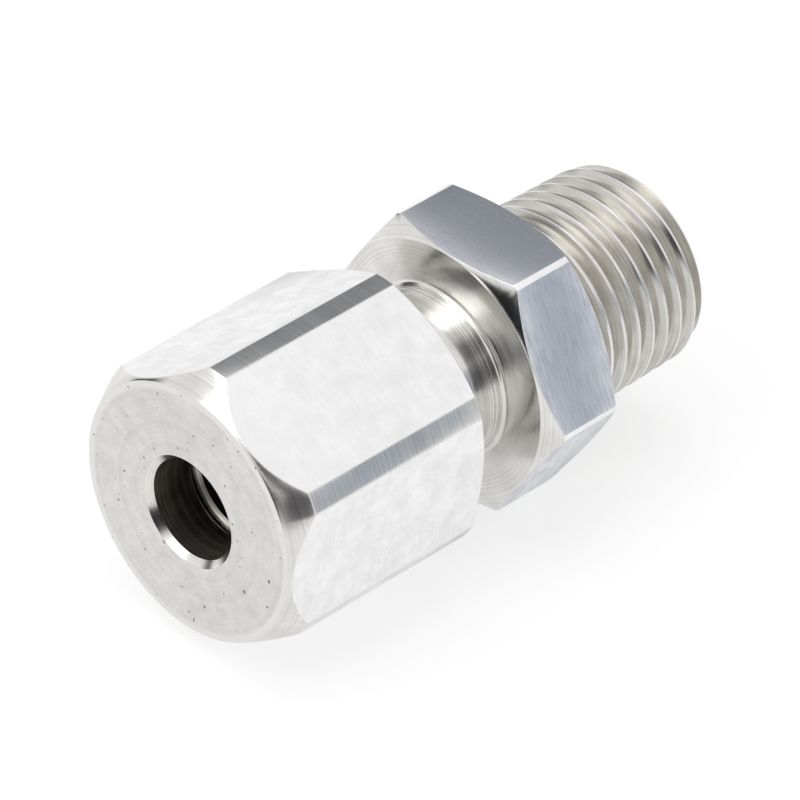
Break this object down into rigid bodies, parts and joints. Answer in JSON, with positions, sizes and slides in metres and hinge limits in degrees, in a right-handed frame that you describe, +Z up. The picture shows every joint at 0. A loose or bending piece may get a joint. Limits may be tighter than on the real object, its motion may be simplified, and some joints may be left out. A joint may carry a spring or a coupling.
{
  "type": "thermocouple compression fitting",
  "caption": "Steel compression fitting that clamps a probe sheath: hexagonal body with a tapered pipe thread, hexagonal nut and ferrule on one through bore.",
  "frame": {"origin": "on the bore's axis, in the plane of the body hexagon's shoulder where the pipe thread starts", "axes": "+X along the bore towards the end of the pipe thread; +Z up, square to a flat of the body's hexagon, with the fitting lying on its side; +Y completes the right-handed frame"},
  "size_m": [0.0285, 0.0148, 0.0144],
  "materials": {
    "body_steel": "turned bright stainless steel with brushed hexagon flats",
    "nut_steel": "turned bright stainless steel with drawn hexagon flats",
    "ferrule_steel": "fine turned stainless steel"
  },
  "bodies": {
    "fitting_body": {"fitting_body": "body_steel"},
    "ferrule": {"ferrule": "ferrule_steel"},
    "compression_nut": {"compression_nut": "nut_steel"}
  },
  "joints": [
    {"name": "nut_travel", "type": "slide", "parent": "fitting_body", "child": "ferrule", "axis": [1, 0, 0], "range_m": [-0.00725, 0.00032]},
    {"name": "nut_turn", "type": "hinge", "parent": "ferrule", "child": "compression_nut", "pos_m": [-0.0143, 0, 0], "axis": [1, 0, 0], "range_deg": [-2592, 108]}
  ],
  "couplings": [
    {"joint": "nut_travel", "follows": "nut_turn", "m_per_rad": 0.00015915}
  ]
}
